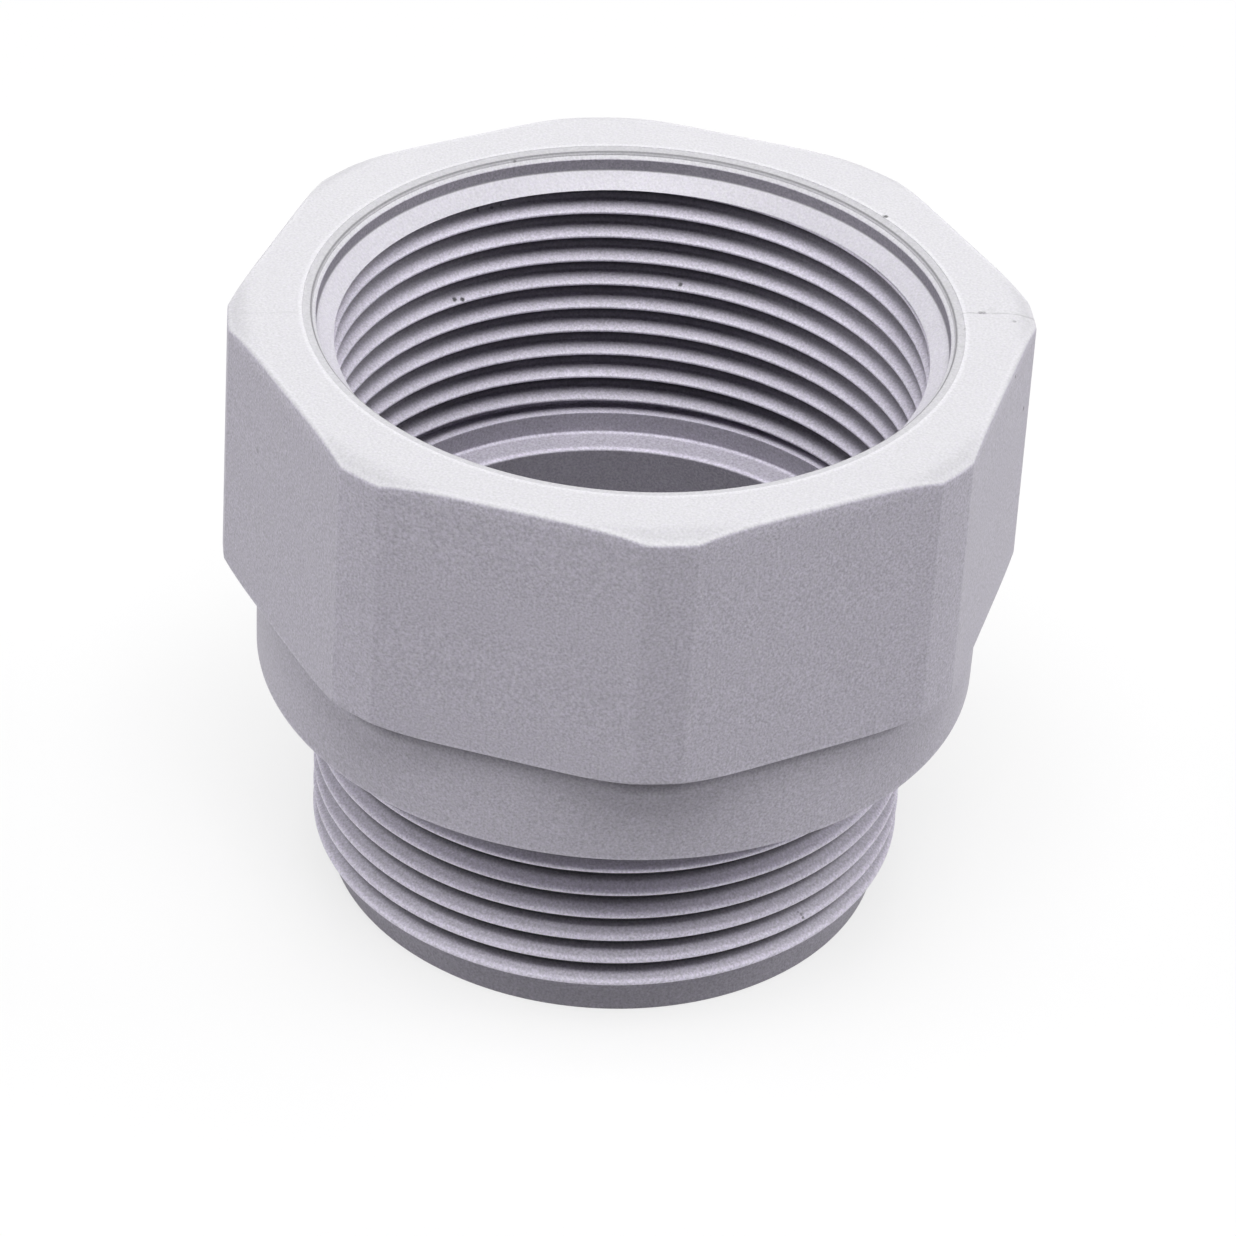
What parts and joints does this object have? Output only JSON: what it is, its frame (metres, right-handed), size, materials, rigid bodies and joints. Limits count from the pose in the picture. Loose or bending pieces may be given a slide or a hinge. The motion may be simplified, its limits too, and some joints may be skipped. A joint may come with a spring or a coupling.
{
  "type": "threaded extension coupling",
  "caption": "Moulded coupling with an octagonal grip, a deep internally threaded socket, a round collar and a threaded spigot below, that lengthens a cable entry.",
  "frame": {"origin": "centre of the spigot's flat end face, on the thread axis", "axes": "+Z along the thread axis, from the spigot's end face to the open mouth of the socket; +X is the outward normal of one flat of the octagonal grip"},
  "size_m": [0.0396, 0.0396, 0.0338],
  "materials": {
    "body": "light grey satin moulded polyamide, fine matte grain, with a faint mould knit line"
  },
  "bodies": {
    "root": {"coupling_body": "body"}
  },
  "joints": []
}
